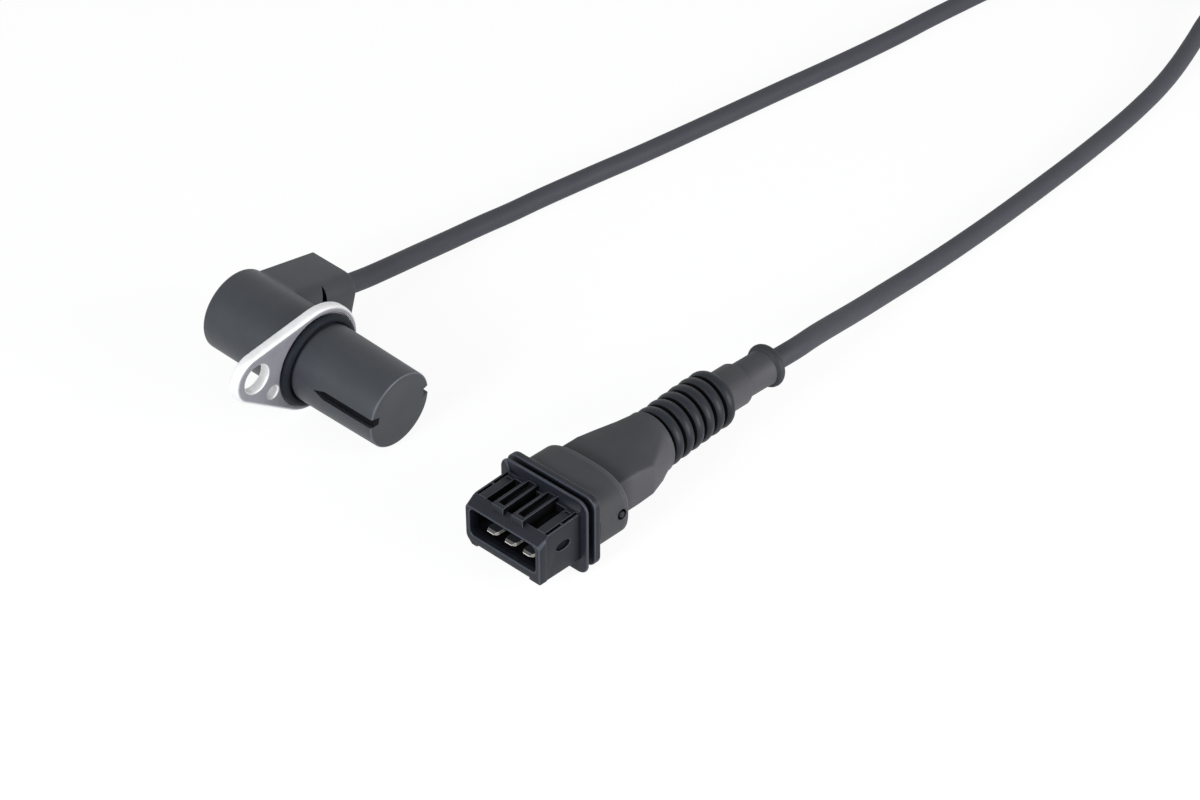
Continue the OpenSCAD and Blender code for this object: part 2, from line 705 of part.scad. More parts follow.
module boot_outside() {
    waist = skirt_end + taper_len * 0.47;
    knee = skirt_end + taper_len * 0.77;
    hull() {
        boot_slice(collar_rear, skirt_w, skirt_h, skirt_up, 2.8);
        boot_slice(skirt_end - 0.1, skirt_w, skirt_h, skirt_up, 2.8);
    }
    hull() {
        boot_slice(skirt_end - 0.2, body_w, body_h, boot_up - 0.1, 2.4);
        boot_slice(waist, body_w - 0.6, body_h - 0.2, boot_up, 2.4);
    }
    hull() {
        boot_slice(waist - 0.1, body_w - 0.6, body_h - 0.2, boot_up, 2.4);
        boot_slice(knee, body_w - 3, body_h, boot_up, 2.2);
    }
    hull() {
        boot_slice(knee - 0.1, body_w - 3, body_h, boot_up, 2.2);
        boot_slice(taper_end - 0.1, ring_root + 2.6, ring_root + 2.2, boot_up, 2);
    }
    translate([0, 0, boot_up]) rotate([0, 90, 0]) rotate_extrude() boot_profile();
}

// half of the turned part of the boot, with its rings as half rounds on a stem
module boot_profile() {
    crown = 1.5;
    polygon([[0, taper_end - 1], [ring_root / 2, taper_end - 1], [ring_root / 2, ring_end],
        [sleeve_d / 2, ring_end], [sleeve_d / 2, sleeve_end - 0.4], [tail_d / 2, sleeve_end],
        [tail_d / 2, tail_end], [0, tail_end]]);
    for (i = [1 : rings])
        translate([0, taper_end + (i - 0.35) * ring_pitch]) {
            translate([0, -crown]) square([ring_d / 2 - crown, 2 * crown]);
            translate([ring_d / 2 - crown, 0]) circle(crown, $fn = 24);
        }
    translate([0, tail_end]) square([bead_d / 2 - bead_len / 2, bead_len]);
    translate([bead_d / 2 - bead_len / 2, tail_end + bead_len / 2]) circle(bead_len / 2, $fn = 24);
}

module rubber_boot() color([0.27, 0.27, 0.29]) plug_pose() difference() {
    boot_outside();
    plug_plate(collar_rear - 1, spigot_end, spigot_w, boot_up - spigot_h / 2, boot_up + spigot_h / 2, 2.5);
    hull() {
        boot_slice(spigot_end - 0.1, spigot_w - 2, spigot_h - 1, boot_up, 3);
        boot_slice(boot_hollow - 0.1, cable_d + 1.6, cable_d + 1, boot_up, 3);
    }
    plug_cyl(boot_hollow - eps, boot_end + 1, 0, boot_up, cable_d);
    for (side = [0, 1])
        mirror([0, side, 0]) translate([stud_at[0], spigot_w / 2 - 1, stud_at[1]]) rotate([-90, 0, 0])
            cylinder(h = skirt_w, d = stud_d + 0.2);
}

sensor_body();
mounting_flange();
o_ring();
rear_cap();
pole_pin();
magnet();
coil_bobbin();
coil_winding();
terminal_signal();
terminal_ground();
terminal_screen();
potting();
head_jacket_end();
head_core_signal();
head_core_ground();
head_core_screen();
cable_head();
cable_coil();
coil_tie();
cable_plug();
plug_housing();
contact_1();
contact_2();
contact_3();
plug_core_1();
plug_core_2();
plug_core_3();
plug_jacket_end();
rubber_boot();
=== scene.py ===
# Crankshaft position sensor: a magnetic pick-up head on a steel flange, a lead, and a tab plug in a boot.
# Sizes are in millimetres, in the frame of the solids: +Z up from the table, +X from the plug to its lead.
import math

import bmesh
import bpy
from mathutils import Matrix, Vector


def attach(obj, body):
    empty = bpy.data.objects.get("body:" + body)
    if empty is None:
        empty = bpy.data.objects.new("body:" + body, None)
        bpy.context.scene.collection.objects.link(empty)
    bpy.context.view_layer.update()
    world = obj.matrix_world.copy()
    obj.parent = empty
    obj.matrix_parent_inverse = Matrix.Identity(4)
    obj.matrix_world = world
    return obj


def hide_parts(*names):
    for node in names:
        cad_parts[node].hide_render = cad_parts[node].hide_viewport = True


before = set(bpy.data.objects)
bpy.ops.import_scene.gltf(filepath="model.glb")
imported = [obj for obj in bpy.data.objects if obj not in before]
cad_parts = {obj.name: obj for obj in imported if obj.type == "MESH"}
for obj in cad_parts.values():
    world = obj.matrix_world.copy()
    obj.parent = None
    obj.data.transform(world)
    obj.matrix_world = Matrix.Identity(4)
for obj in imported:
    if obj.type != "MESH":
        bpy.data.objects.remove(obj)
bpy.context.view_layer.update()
mm = 0.001

# Camera
# A long lens looks down on the table from the front left, past the head to the plug.
# The head lies rolled onto its flange and side block, and the origin is on its nose, in front of the flange.
head_yaw = math.radians(4.8)
head_dip = math.radians(6.8)
head_roll = math.radians(14.5)
head_pose = (Matrix.Rotation(head_yaw, 3, "Z") @ Matrix.Rotation(head_dip, 3, "X")
             @ Matrix.Rotation(head_roll, 3, "Y"))
neck_len = 1.6
home = -(head_pose @ Vector((0, -neck_len, 0)))
aim = (Vector((30.77, -54.15, 0)) + home) * mm
camera_turn = math.radians(-46.27)
camera_tilt = math.radians(35.1)
stand_off = 524.49 * mm
back = Vector((math.sin(camera_turn) * math.cos(camera_tilt), -math.cos(camera_turn) * math.cos(camera_tilt),
               math.sin(camera_tilt)))


def placed(name, data):
    """A new object in the scene."""
    made = bpy.data.objects.new(name, data)
    bpy.context.scene.collection.objects.link(made)
    return made


camera_data = bpy.data.cameras.new("camera")
camera_data.lens = 75.39
camera_data.sensor_width = 36
camera_data.clip_start = 0.01
camera = placed("camera", camera_data)
camera.location = aim + back * stand_off
camera.rotation_euler = (-back).to_track_quat("-Z", "Y").to_euler()
bpy.context.scene.camera = camera
bpy.context.scene.view_settings.view_transform = "Standard"

# Lead
# One round cable with a matte extruded jacket, from the head's side block to the plug's boot. What isn't
# needed between them is wound up a turn and a half on the table and held by a band.
cable_d = 4.8
band_t = 0.6
table_z = -12.57
plug_at = Vector((-13.67, -70.1, -8.95))
boot_end = 80.9
boot_up = 6.9
exit_at = Vector((24.6, 17.25, 3))
head_exit = head_pose @ exit_at
tail_shift = 1.1
plug_exit = plug_at + Vector((boot_end, tail_shift, boot_up))
head_run = [
    (32, 21, -3.4), (41, 22.3, -5), (52, 24, -6.9), (62, 25.2, -8.4), (73, 25.8, -9.4), (83, 25.7, -10),
    (93, 25.3, -10.1), (103, 24.5, -10.1), (113, 23.6, -10.1), (123, 22.6, -10.1), (133, 21.8, -10.1),
    (143, 21.1, -10.1), (154, 20.4, -10.1), (165, 19.7, -10.1), (176, 19, -10.1), (187, 18.2, -10.1),
    (199, 17.4, -10.1), (211, 16.8, -10.1), (223, 16.4, -10.1), (236, 16.3, -10.1), (249, 15.9, -10.1),
    (262, 15.2, -10), (275, 14, -9.9), (288, 12.8, -9.7), (297, 12.2, -9.6)]
plug_run = [
    (76, -69.2, -2.1), (84, -68, -3.2), (92, -66.6, -4.8), (100, -65.3, -6.4), (108, -64.1, -7.8),
    (117, -63, -9), (127, -62.3, -9.8), (138, -61.9, -10.1), (150, -61.5, -10.1), (162, -60.9, -10.1),
    (174, -60.1, -10.1), (186, -59.2, -10.1), (198, -58.2, -10.1), (210, -57, -10.1), (222, -55.6, -10.1),
    (234, -53.8, -10.1), (246, -51.6, -10), (258, -48.8, -9.6), (270, -45.6, -8.6), (282, -42.4, -7),
    (294, -40.4, -5.4)]
coil_middle = Vector((322, -14))
coil_r = 26
coil_low = table_z + band_t + cable_d / 2
coil_stub = 18
coil_turns = 1.5
turn_steps = 16
coil_run = [(coil_middle.x - coil_stub, coil_middle.y + coil_r, coil_low)]
for step in range(round(turn_steps * coil_turns) + 1):
    bearing = math.radians(90 - 360 * step / turn_steps)
    climb = min(max(2 * step / turn_steps - 1, 0), 1)
    coil_run.append((coil_middle.x + coil_r * math.cos(bearing), coil_middle.y + coil_r * math.sin(bearing),
                     coil_low + cable_d * climb))
coil_run.append((coil_middle.x - coil_stub, coil_middle.y - coil_r, coil_low + cable_d))
route = [head_exit] + head_run + coil_run + plug_run[::-1] + [plug_exit]


def round_curve(name):
    """A curve with a round section, as thick as its points say."""
    made = bpy.data.curves.new(name, "CURVE")
    made.dimensions = "3D"
    made.bevel_depth = 1
    made.bevel_resolution = 7
    return made


cable_curve = round_curve("lead")
cable_curve.resolution_u = 6
cable_line = cable_curve.splines.new("BEZIER")
cable_line.bezier_points.add(len(route) - 1)
for knot, point in zip(cable_line.bezier_points, route):
    knot.co = (Vector(point) + home) * mm
    knot.radius = cable_d / 2 * mm
    knot.handle_left_type = "AUTO"
    knot.handle_right_type = "AUTO"
lead = placed("lead", cable_curve)
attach(lead, "root")
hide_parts("cable_head", "cable_coil", "cable_plug")


class Tone:
    """One socket of a finish. Sums and products of tones add the nodes that work them out."""

    def __init__(self, tree, socket=None):
        self.tree = tree
        self.socket = socket

    def node(self, kind, settings=None, sockets=None, out=0):
        """A new node with its settings and the values or tones of its sockets, as the tone of one output."""
        made = self.tree.nodes.new("ShaderNode" + kind)
        for name, value in (settings or {}).items():
            setattr(made, name, value)
        for name, value in (sockets or {}).items():
            if isinstance(value, Tone):
                self.tree.links.new(value.socket, made.inputs[name])
            else:
                made.inputs[name].default_value = value
        return Tone(self.tree, made.outputs[out])

    def other(self, out):
        """Another output of the same node."""
        return Tone(self.tree, self.socket.node.outputs[out])

    def into(self, name):
        """Feeds a socket of the surface's shader."""
        self.tree.links.new(self.socket, self.tree.nodes["Principled BSDF"].inputs[name])

    def math(self, operation, first, second=0.0):
        return self.node("Math", {"operation": operation}, {0: first, 1: second})

    def __add__(self, other):
        return self.math("ADD", self, other)

    def __radd__(self, other):
        return self.math("ADD", other, self)

    def __sub__(self, other):
        return self.math("SUBTRACT", self, other)

    def __rsub__(self, other):
        return self.math("SUBTRACT", other, self)

    def __mul__(self, other):
        return self.math("MULTIPLY", self, other)

    def __rmul__(self, other):
        return self.math("MULTIPLY", other, self)

    def most(self, other):
        return self.math("MAXIMUM", self, other)

    def ramp(self, low, high):
        """0 up to one value, 1 from another, and an even slope between them."""
        return self.node("MapRange", {"clamp": True}, {0: self, 1: low, 2: high, 3: 0.0, 4: 1.0})

    def spread(self):
        """Noise, which stays near its middle, opened up to all of 0 to 1."""
        return self.ramp(0.3, 0.7)

    def tint(self, dark, light):
        """A colour between two, by this tone. A colour is three numbers or a tone."""
        ends = [end if isinstance(end, Tone) else (*end, 1) for end in (dark, light)]
        return self.node("Mix", {"data_type": "RGBA"}, {0: self, 6: ends[0], 7: ends[1]}, 2)

    def relief(self, height, strength=1.0):
        """The surface's normal, with this tone raised to a height in millimetres."""
        return self.node("Bump", None, {"Strength": strength, "Distance": height * mm, "Height": self})


def finish(name, fixed):
    """A new material with the values that are the same all over, and a tone to start its nodes from."""
    made = bpy.data.materials.new(name)
    made.use_nodes = True
    for socket, value in fixed.items():
        made.node_tree.nodes["Principled BSDF"].inputs[socket].default_value = value
    return made, Tone(made.node_tree)


def grain(tone, size, detail=3.0, stretch=None):
    """Even random grain with spots of one size in millimetres, drawn out along an axis where asked."""
    place = tone.node("TexCoord", None, None, "Object")
    if stretch:
        place = place.node("Mapping", None, {"Vector": place, "Scale": stretch})
    return tone.node("TexNoise", None, {"Vector": place, "Scale": 1 / (size * mm), "Detail": detail,
                                        "Roughness": 0.55})


jacket, start = finish("extruded_jacket", {"Specular IOR Level": 0.25})
streaks = grain(start, 1.4, 4.0, stretch=(0.12, 1.0, 1.0))
pores = grain(start, 0.16, 2.0)
dust = grain(start, 9.0)
shade = (0.6 * streaks + 0.4 * dust).spread()
shade.tint((0.043, 0.045, 0.055), (0.054, 0.056, 0.068)).into("Base Color")
(0.52 + 0.14 * pores).into("Roughness")
(0.5 * pores + 0.5 * streaks).relief(0.04, 0.45).into("Normal")
cable_curve.materials.append(jacket)

# Studio
# A pale table top under a white surround, with two wide soft lamps low on the left and on the right.
# Most of what is seen of the table is its own glow, so that the ground is white and keeps a faint shadow.
room_level = 0.27
glow_level = 1.07
glow_share = 0.85
lamp_aim = (20, -40, 0)
table_half = 700 * mm
table_level = (table_z + home.z) * mm


def shown(tone):
    """1 for what is seen straight on, in a reflection or through glass, and 0 for what only gives light."""
    straight = tone.node("LightPath", None, None, "Is Camera Ray")
    return straight.most(straight.other("Is Glossy Ray")).most(straight.other("Is Transmission Ray"))


world = bpy.data.worlds.new("surround")
world.use_nodes = True
bpy.context.scene.world = world
world.node_tree.nodes.clear()
room = Tone(world.node_tree)
room_light = room.node("Background", None, {"Color": (0.96, 0.98, 1, 1), "Strength": room_level})
room_white = room.node("Background", None, {"Color": (1, 1, 1, 1), "Strength": 1.0})
room_mix = room.node("MixShader", None, {0: shown(room), 1: room_light, 2: room_white})
world_end = world.node_tree.nodes.new("ShaderNodeOutputWorld")
world.node_tree.links.new(room_mix.socket, world_end.inputs["Surface"])


def soft_lamp(name, place, target, width, watts, tint):
    """A round lamp that looks from one place to another, both in millimetres."""
    lamp = bpy.data.lights.new(name, "AREA")
    lamp.shape = "DISK"
    lamp.size = width * mm
    lamp.energy = watts
    lamp.color = tint
    stand = placed(name, lamp)
    stand.location = Vector(place) * mm
    stand.rotation_euler = (Vector(target) - Vector(place)).to_track_quat("-Z", "Y").to_euler()


soft_lamp("right_lamp", (220, -720, 190), lamp_aim, width=420, watts=4.4, tint=(1, 0.99, 0.98))
soft_lamp("left_lamp", (-760, -150, 290), lamp_aim, width=360, watts=5.8, tint=(0.94, 0.975, 1))
table_corners = ((-table_half, -table_half), (table_half, -table_half), (table_half, table_half),
                 (-table_half, table_half))
table_mesh = bpy.data.meshes.new("table_top")
table_mesh.from_pydata([(x, y, table_level) for x, y in table_corners], [], [(0, 1, 2, 3)])
table = placed("table_top", table_mesh)
paper, start = finish("white_paper", {"Base Color": (0.88, 0.88, 0.88, 1), "Roughness": 0.9})
glow = start.node("Emission", None, {"Color": (1, 1, 1, 1), "Strength": glow_level})
lit = Tone(paper.node_tree, paper.node_tree.nodes["Principled BSDF"].outputs[0])
paper_mix = start.node("MixShader", None, {0: glow_share * shown(start), 1: lit, 2: glow})
paper.node_tree.links.new(paper_mix.socket, paper.node_tree.nodes["Material Output"].inputs["Surface"])
table_mesh.materials.append(paper)

# Band on the coil
# A thin band round the two turns of the coil, moulded in black plastic. It keeps the smooth face of its
# mould, so it is a little glossier than the cable.
band_finish, start = finish("band_plastic", {"Specular IOR Level": 0.5, "Base Color": (0.02, 0.02, 0.022, 1)})
(0.38 + 0.2 * grain(start, 0.5)).into("Roughness")
grain(start, 0.3, 2.0).relief(0.03, 0.5).into("Normal")


def dress(node, material):
    """Gives one solid of the frame a finish."""
    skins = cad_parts[node].data.materials
    skins.clear()
    skins.append(material)


dress("coil_tie", band_finish)

# Moulded head
# One moulding of glass-filled plastic: the nose with its two long grooves, the rear cylinder and the side
# block that the lead comes out of. Its skin is matte from the mould, and its rounded edges get a painted
# highlight.
plate_t = 2.5
neck_r = 8.95
land_r = 9.2
land_end = 6.6
tip_r = 8.9
nose_len = 23.9
tip_edge = 0.35
tip_inner = 0.8
groove_half = 1.05
groove_floors = (7.4, 8.1)
groove_start = 7.6
groove_full = 10.6
groove_ways = (math.radians(20), math.radians(187))
groove_margin = 1.3
groove_least = 0.04
rear_r = 9.7
rear_end = 25.0
rear_edge = 0.8
cap_r = 7.85
cap_seat = 0.3
block_front = 10.2
block_rear = 24.3
block_top = 8.3
block_low = -7.4
block_round = 4.2
block_rear_round = 0.5
block_edge = 0.45
block_reach = 22.4
block_rise = math.radians(3)
boss_r = 4.0
relief_at = 11.8
relief_w = 1.6
relief_deep = 2.7
relief_low = block_top - 5
relief_ahead = 1
relief_above = 3
sunk = 0.1
crease_angle = math.radians(34)


def moulded(name, dark, light, edge_highlight, shine, rough, spots, depth):
    """A mould's matte skin: fine spark-worn grain, slow changes of shade and a painted highlight on rounded
    edges.
    """
    made, tone = finish(name, {"Specular IOR Level": shine})
    fine = grain(tone, spots, 2.0)
    slow = grain(tone, 7.0)
    edge = tone.node("Attribute", {"attribute_name": "rim"}, None, "Fac")
    shade = (0.35 * fine + 0.65 * slow).spread().tint(dark, light)
    # Painted highlight: faces marked as rim are tinted towards a pale edge colour.
    (edge * (0.5 + 0.5 * slow)).tint(shade, edge_highlight).into("Base Color")
    (rough + 0.16 * fine - 0.08 * edge).into("Roughness")
    fine.relief(depth, 0.5).into("Normal")
    return made


def deep_shade(name, colour):
    """Painted shade: a near-black colour for a moulding down in a slot, a mouth or a hole, where it is dull
    and little light comes back.
    """
    made, tone = finish(name, {"Specular IOR Level": 0.06})
    cloud = grain(tone, 1.5)
    cloud.spread().tint([0.7 * value for value in colour], colour).into("Base Color")
    (0.6 + 0.2 * cloud).into("Roughness")
    grain(tone, 0.15, 2.0).relief(0.02, 0.4).into("Normal")
    return made


def in_head(u, y, w):
    """A place on the head, with y along the nose's axis from the flange's front face to the rear."""
    return (head_pose @ Vector((u, y, w)) + home) * mm


def strip_between(shape, loops):
    """Skin between closed loops of equally many points. Gives the loops' vertices and each band of faces."""
    rows = [[shape.verts.new(point) for point in loop] for loop in loops]
    bands = []
    for row, following in zip(rows, rows[1:]):
        after = row[1:] + row[:1]
        after_following = following[1:] + following[:1]
        bands.append([shape.faces.new(corners) for corners in zip(row, after, after_following, following)])
    return rows, bands


def capped(shape, loops):
    """A closed skin: loops with a face over the first and the last. Gives each band of faces."""
    rows, bands = strip_between(shape, loops)
    shape.faces.new(rows[0])
    shape.faces.new(rows[-1])
    return bands


def quarter(radius, steps=5):
    """How far in and how deep a rounded edge is, from the flat face to the side."""
    turns = [math.pi / 2 * i / steps for i in range(steps + 1)]
    return [(radius * (1 - math.sin(turn)), radius * (1 - math.cos(turn))) for turn in turns]


def circle(radius, steps):
    """The points of a circle, as pairs across its axis."""
    turns = [2 * math.pi * i / steps for i in range(steps)]
    return [(radius * math.cos(turn), radius * math.sin(turn)) for turn in turns]


def turned(profile, steps, middle=Vector((0, 0))):
    """Circles round an axis along the nose, from pairs of a radius and a place along it."""
    return [[in_head(middle.x + u, y, middle.y + w) for u, w in circle(radius, steps)]
            for radius, y in profile]


def as_object(shape, name, materials):
    """A smooth object from a bmesh, creased where its faces turn sharply."""
    bmesh.ops.recalc_face_normals(shape, faces=shape.faces)
    for face in shape.faces:
        face.smooth = True
    data = bpy.data.meshes.new(name)
    shape.to_mesh(data)
    shape.free()
    data.set_sharp_from_angle(angle=crease_angle)
    for material in materials:
        data.materials.append(material)
    return placed(name, data)


def piece(made, slot, *nodes):
    """Hands an object over as the look of some solids of the frame."""
    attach(made, "root")
    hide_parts(*nodes)


def cut(base, tool, operation):
    """Joins a second object to the first or takes it away from it, and drops the second."""
    step = base.modifiers.new("cut", "BOOLEAN")
    step.object = tool
    step.operation = operation
    step.solver = "EXACT"
    ready = base.evaluated_get(bpy.context.evaluated_depsgraph_get())
    base.data = bpy.data.meshes.new_from_object(ready)
    base.modifiers.clear()
    bpy.data.objects.remove(tool)


# The head's rounded edges get a pale blue-grey painted highlight.
head_skin = moulded("head_moulding", (0.030, 0.034, 0.041), (0.042, 0.046, 0.054), edge_highlight=(0.11, 0.12, 0.14),
                    shine=0.34, rough=0.38, spots=0.13, depth=0.03)
head_shade_paint = deep_shade("head_painted_shade", (0.006, 0.006, 0.008))

rear_profile = [(rear_r, plate_t - sunk), (rear_r, 8), (rear_r, 16), (rear_r, 22)]
rear_profile += [(rear_r - inset, rear_end - deep) for inset, deep in quarter(rear_edge)[::-1]]
rear_profile += [(cap_r, rear_end), (cap_r, rear_end - cap_seat)]
rear = bmesh.new()
capped(rear, turned(rear_profile, 160))
rear_body = as_object(rear, "rear_body", [head_skin, head_shade_paint])


def block_loop(reach, inset):
    """The block's outline across the lead: round front corners, crisp rear ones."""
    corners = ((block_rear, block_top, block_rear_round, 0), (block_front, block_top, block_round, 90),
               (block_front, block_low, block_round, 180), (block_rear, block_low, block_rear_round, 270))
    corner_steps = 10
    least_bend = 0.05
    points = []
    for y, w, radius, start in corners:
        toward_y = -1 if y == block_rear else 1
        toward_w = -1 if w == block_top else 1
        bend = max(radius - inset, least_bend)
        for i in range(corner_steps + 1):
            turn = math.radians(start + 90 * i / corner_steps)
            py = y + toward_y * radius + bend * math.cos(turn)
            pw = w + toward_w * radius + bend * math.sin(turn)
            u = reach * math.cos(block_rise) - pw * math.sin(block_rise)
            points.append(in_head(u, py, pw * math.cos(block_rise) + reach * math.sin(block_rise)))
    return points


block_rows = [(reach, 0) for reach in (0, 6, 12, 18)]
block_rows += [(block_reach - deep, inset) for inset, deep in quarter(block_edge)[::-1]]
block = bmesh.new()
capped(block, [block_loop(reach, inset) for reach, inset in block_rows])
cut(rear_body, as_object(block, "block", [head_skin, head_shade_paint]), "UNION")

boss_rows = [(18, boss_r), (block_reach + 0.6, boss_r), (exit_at.x - 0.5, boss_r - 0.15),
             (exit_at.x - 0.15, boss_r - 0.3), (exit_at.x, boss_r - 0.7)]
boss = bmesh.new()
capped(boss, [[in_head(u, exit_at.y + y, exit_at.z + w) for y, w in circle(radius, 72)]
              for u, radius in boss_rows])
cut(rear_body, as_object(boss, "boss", [head_skin, head_shade_paint]), "UNION")

wedge = [(-relief_w / 2, -relief_ahead), (relief_w / 2, -relief_ahead), (relief_w / 2, relief_deep),
         (-relief_w / 2, 0)]
relief = bmesh.new()
capped(relief, [[in_head(relief_at + u, block_front + y, w) for u, y in wedge]
                for w in (relief_low, block_top + relief_above)])
# Painted shade: the notch's faces get the near-black colour.
for face in relief.faces:
    face.material_index = 1
cut(rear_body, as_object(relief, "relief", [head_skin, head_shade_paint]), "DIFFERENCE")


def nose_row(depth, radius):
    """One closed loop round the nose, with the two grooves let into it."""
    opened = min(max((depth - groove_start) / (groove_full - groove_start), groove_least), 1)
    half = groove_half * opened
    margin = math.asin(groove_margin / radius)
    plain_steps = 40
    points = []
    for number, way in enumerate(groove_ways):
        floor = min(groove_floors[number], radius) if depth > groove_start else radius
        across = ((-half, radius), (-half, floor), (0, floor), (half, floor), (half, radius))
        points.append((way - margin, radius))
        points += [(way + math.asin(side / reach), reach) for side, reach in across]
        first = way + margin
        last = groove_ways[1 - number] + 2 * math.pi * number - margin
        points += [(first + (last - first) * i / plain_steps, radius) for i in range(plain_steps)]
    return [in_head(reach * math.cos(turn), -depth, reach * math.sin(turn)) for turn, reach in points]


nose_profile = [(-0.3, neck_r), (0.6, neck_r), (neck_len - 0.1, neck_r), (neck_len, neck_r + 0.1),
                (neck_len + 0.15, land_r)]
nose_profile += [(depth, land_r) for depth in (3, 4.5, 6, land_end)]
narrowing = (land_r - tip_r) / (nose_len - land_end)
nose_profile += [(depth, land_r - narrowing * (depth - land_end))
                 for depth in (7.2, groove_start, 7.65, 8, 8.5, 9, 9.5, 10, groove_full)]
nose_profile += [(depth, land_r - narrowing * (depth - land_end)) for depth in (12, 14, 16, 18, 20, 22, 23)]
nose_profile += [(nose_len - deep, tip_r - inset) for inset, deep in quarter(tip_edge)[::-1]]
tip_middle = in_head(0, -nose_len, 0)
nose_loops = [nose_row(depth, radius) for depth, radius in nose_profile]
nose_loops.append([tip_middle.lerp(point, tip_inner) for point in nose_loops[-1]])
nose = bmesh.new()
rim = nose.faces.layers.float.new("rim")
bands = capped(nose, nose_loops)
# Painted shade: one wall and the floor of the second groove get the near-black colour. The tip's rounded edge
# is marked as rim, for a painted highlight.
shaded_columns = range(1, 4)
for (depth, _), band in zip(nose_profile, bands):
    for column, face in enumerate(band):
        if depth > groove_start and column - len(band) // 2 in shaded_columns:
            face.material_index = 1
        elif nose_len - tip_edge < depth < nose_len:
            face[rim] = 1
nose.from_mesh(rear_body.data)
bpy.data.objects.remove(rear_body)
piece(as_object(nose, "head_shell", [head_skin, head_shade_paint]), "moulding", "sensor_body")
dress("rear_cap", head_skin)

# Flange
# A punched steel plate with one bolt ear, moulded into the head. It is zinc plated, and its flat face is a
# duller grey. The rolled-over rim and the holes' edges are painted near white as a painted highlight.
plate_r = 12.65
ear_at = Vector((-18.6, 0))
ear_r = 5.85
bolt_r = 3.35
small_hole = Vector((-12.46, -4.84))
small_hole_r = 1.5
rim_round = 0.95
rear_round = 0.5
hole_edge = 0.45
seat_r = 11.25
seat_deep = 0.6
seat_edge = 0.2
bore_r = 8.32


def plate_loop(inset):
    """The plate's outline across the nose, drawn in by a distance."""
    points = []
    for u, w in circle(1, 192):
        way = Vector((u, w))
        on_ear = way.dot(ear_at) + ear_r > plate_r
        points.append(ear_at + way * (ear_r - inset) if on_ear else way * (plate_r - inset))
    return points


def edges_along(row):
    """The edges along one loop of vertices."""
    members = set(row)
    return [edge for vert in row for edge in vert.link_edges if edge.other_vert(vert) in members]


def both_edges(front, rear):
    """The inset and depth of a plate's side, with its front and rear edges rounded."""
    return quarter(front) + [(inset, plate_t - deep) for inset, deep in quarter(rear)[::-1]]


plate = bmesh.new()
rim_rows = both_edges(rim_round, rear_round)
plate_sides = [[[in_head(p.x, deep, p.y) for p in plate_loop(inset)] for inset, deep in rim_rows]]
bore_rows = [(seat_r + seat_edge, 0), (seat_r, seat_edge), (seat_r, seat_deep), (bore_r, seat_deep),
             (bore_r, plate_t)]
plate_sides.append(turned(bore_rows, 128))
for middle, radius in ((ear_at, bolt_r), (small_hole, small_hole_r)):
    hole_rows = [(radius + inset, deep) for inset, deep in both_edges(hole_edge, hole_edge)]
    plate_sides.append(turned(hole_rows, 72, middle))
fronts = []
rears = []
for loops in plate_sides:
    rows, _ = strip_between(plate, loops)
    fronts += edges_along(rows[0])
    rears += edges_along(rows[-1])
for border in (fronts, rears):
    bmesh.ops.triangle_fill(plate, edges=list(dict.fromkeys(border)), use_beauty=True)
zinc, start = finish("zinc_plate", {"Specular IOR Level": 0.5})
nose_way = head_pose @ Vector((0, -1, 0))
facing = start.node("NewGeometry", None, None, "Normal")
facing = start.node("VectorMath", {"operation": "DOT_PRODUCT"}, {0: facing, 1: tuple(nose_way)}, "Value")
flatness = facing.ramp(0.8, 0.99)
rolled = grain(start, 0.25)
cloudy = grain(start, 3.0)
face_grey = (0.5 * rolled + 0.5 * cloudy).spread().tint((0.23, 0.23, 0.262), (0.29, 0.29, 0.325))
# Painted highlight: faces that don't face along the nose are near white.
rim_highlight = cloudy.spread().tint((0.78, 0.775, 0.79), (0.86, 0.855, 0.865))
flatness.tint(rim_highlight, face_grey).into("Base Color")
(0.35 - 0.1 * flatness).into("Metallic")
(0.42 + 0.15 * flatness + 0.1 * rolled).into("Roughness")
(0.6 * rolled + 0.4 * cloudy).relief(0.03, 0.5).into("Normal")
piece(as_object(plate, "flange_plate", [zinc]), "flange_steel", "mounting_flange")

# Rubber ring
# A moulded ring of black rubber on the neck of the nose. It lies in a shallow seat in the flange's face and
# is pressed on the engine when the bolt is drawn up.
ring_t = 2.0
ring_fit = 0.05
same_place = 0.0001
ring_middle = neck_r + ring_fit + ring_t / 2
ring = bmesh.new()
ring_rows = [(ring_middle + out, seat_deep - ring_t / 2 + deep) for out, deep in circle(ring_t / 2, 24)]
ring_loops = turned(ring_rows, 128)
strip_between(ring, ring_loops + ring_loops[:1])
bmesh.ops.remove_doubles(ring, verts=ring.verts, dist=same_place * mm)
ring_rubber, start = finish("ring_rubber", {"Specular IOR Level": 0.12})
bloom_and_side_light = grain(start, 0.8)
bloom_and_side_light.ramp(0.3, 0.75).tint((0.008, 0.010, 0.014), (0.014, 0.017, 0.024)).into("Base Color")
(0.5 + 0.2 * bloom_and_side_light).into("Roughness")
grain(start, 0.2, 2.0).relief(0.03, 0.4).into("Normal")
piece(as_object(ring, "rubber_ring", [ring_rubber]), "seal_rubber", "o_ring")

# Pick-up inside the head
# A soft-iron pole pin against a magnet, in a plastic former with a winding of enamelled copper wire. Three
# tinned pins lead to the cores of the cable, and casting resin fills the space behind.
wire_pitch = 0.25


def turned_metal(name, colour, rough, wear_size):
    """Bare metal with the fine lines of the tool that turned or drew it."""
    made, tone = finish(name, {"Metallic": 0.9})
    lines = grain(tone, wear_size, stretch=(1.0, 5.0, 1.0))
    lines.tint([0.8 * value for value in colour], colour).into("Base Color")
    (rough + 0.15 * lines).into("Roughness")
    lines.relief(0.02, 0.5).into("Normal")
    return made


def glossy(name, colour, rough):
    """Smooth plastic or resin with slight changes of shade."""
    made, tone = finish(name, {"Specular IOR Level": 0.5})
    cloud = grain(tone, 1.2)
    cloud.spread().tint([0.85 * value for value in colour], colour).into("Base Color")
    (rough + 0.12 * cloud).into("Roughness")
    grain(tone, 0.25, 2.0).relief(0.02, 0.4).into("Normal")
    return made


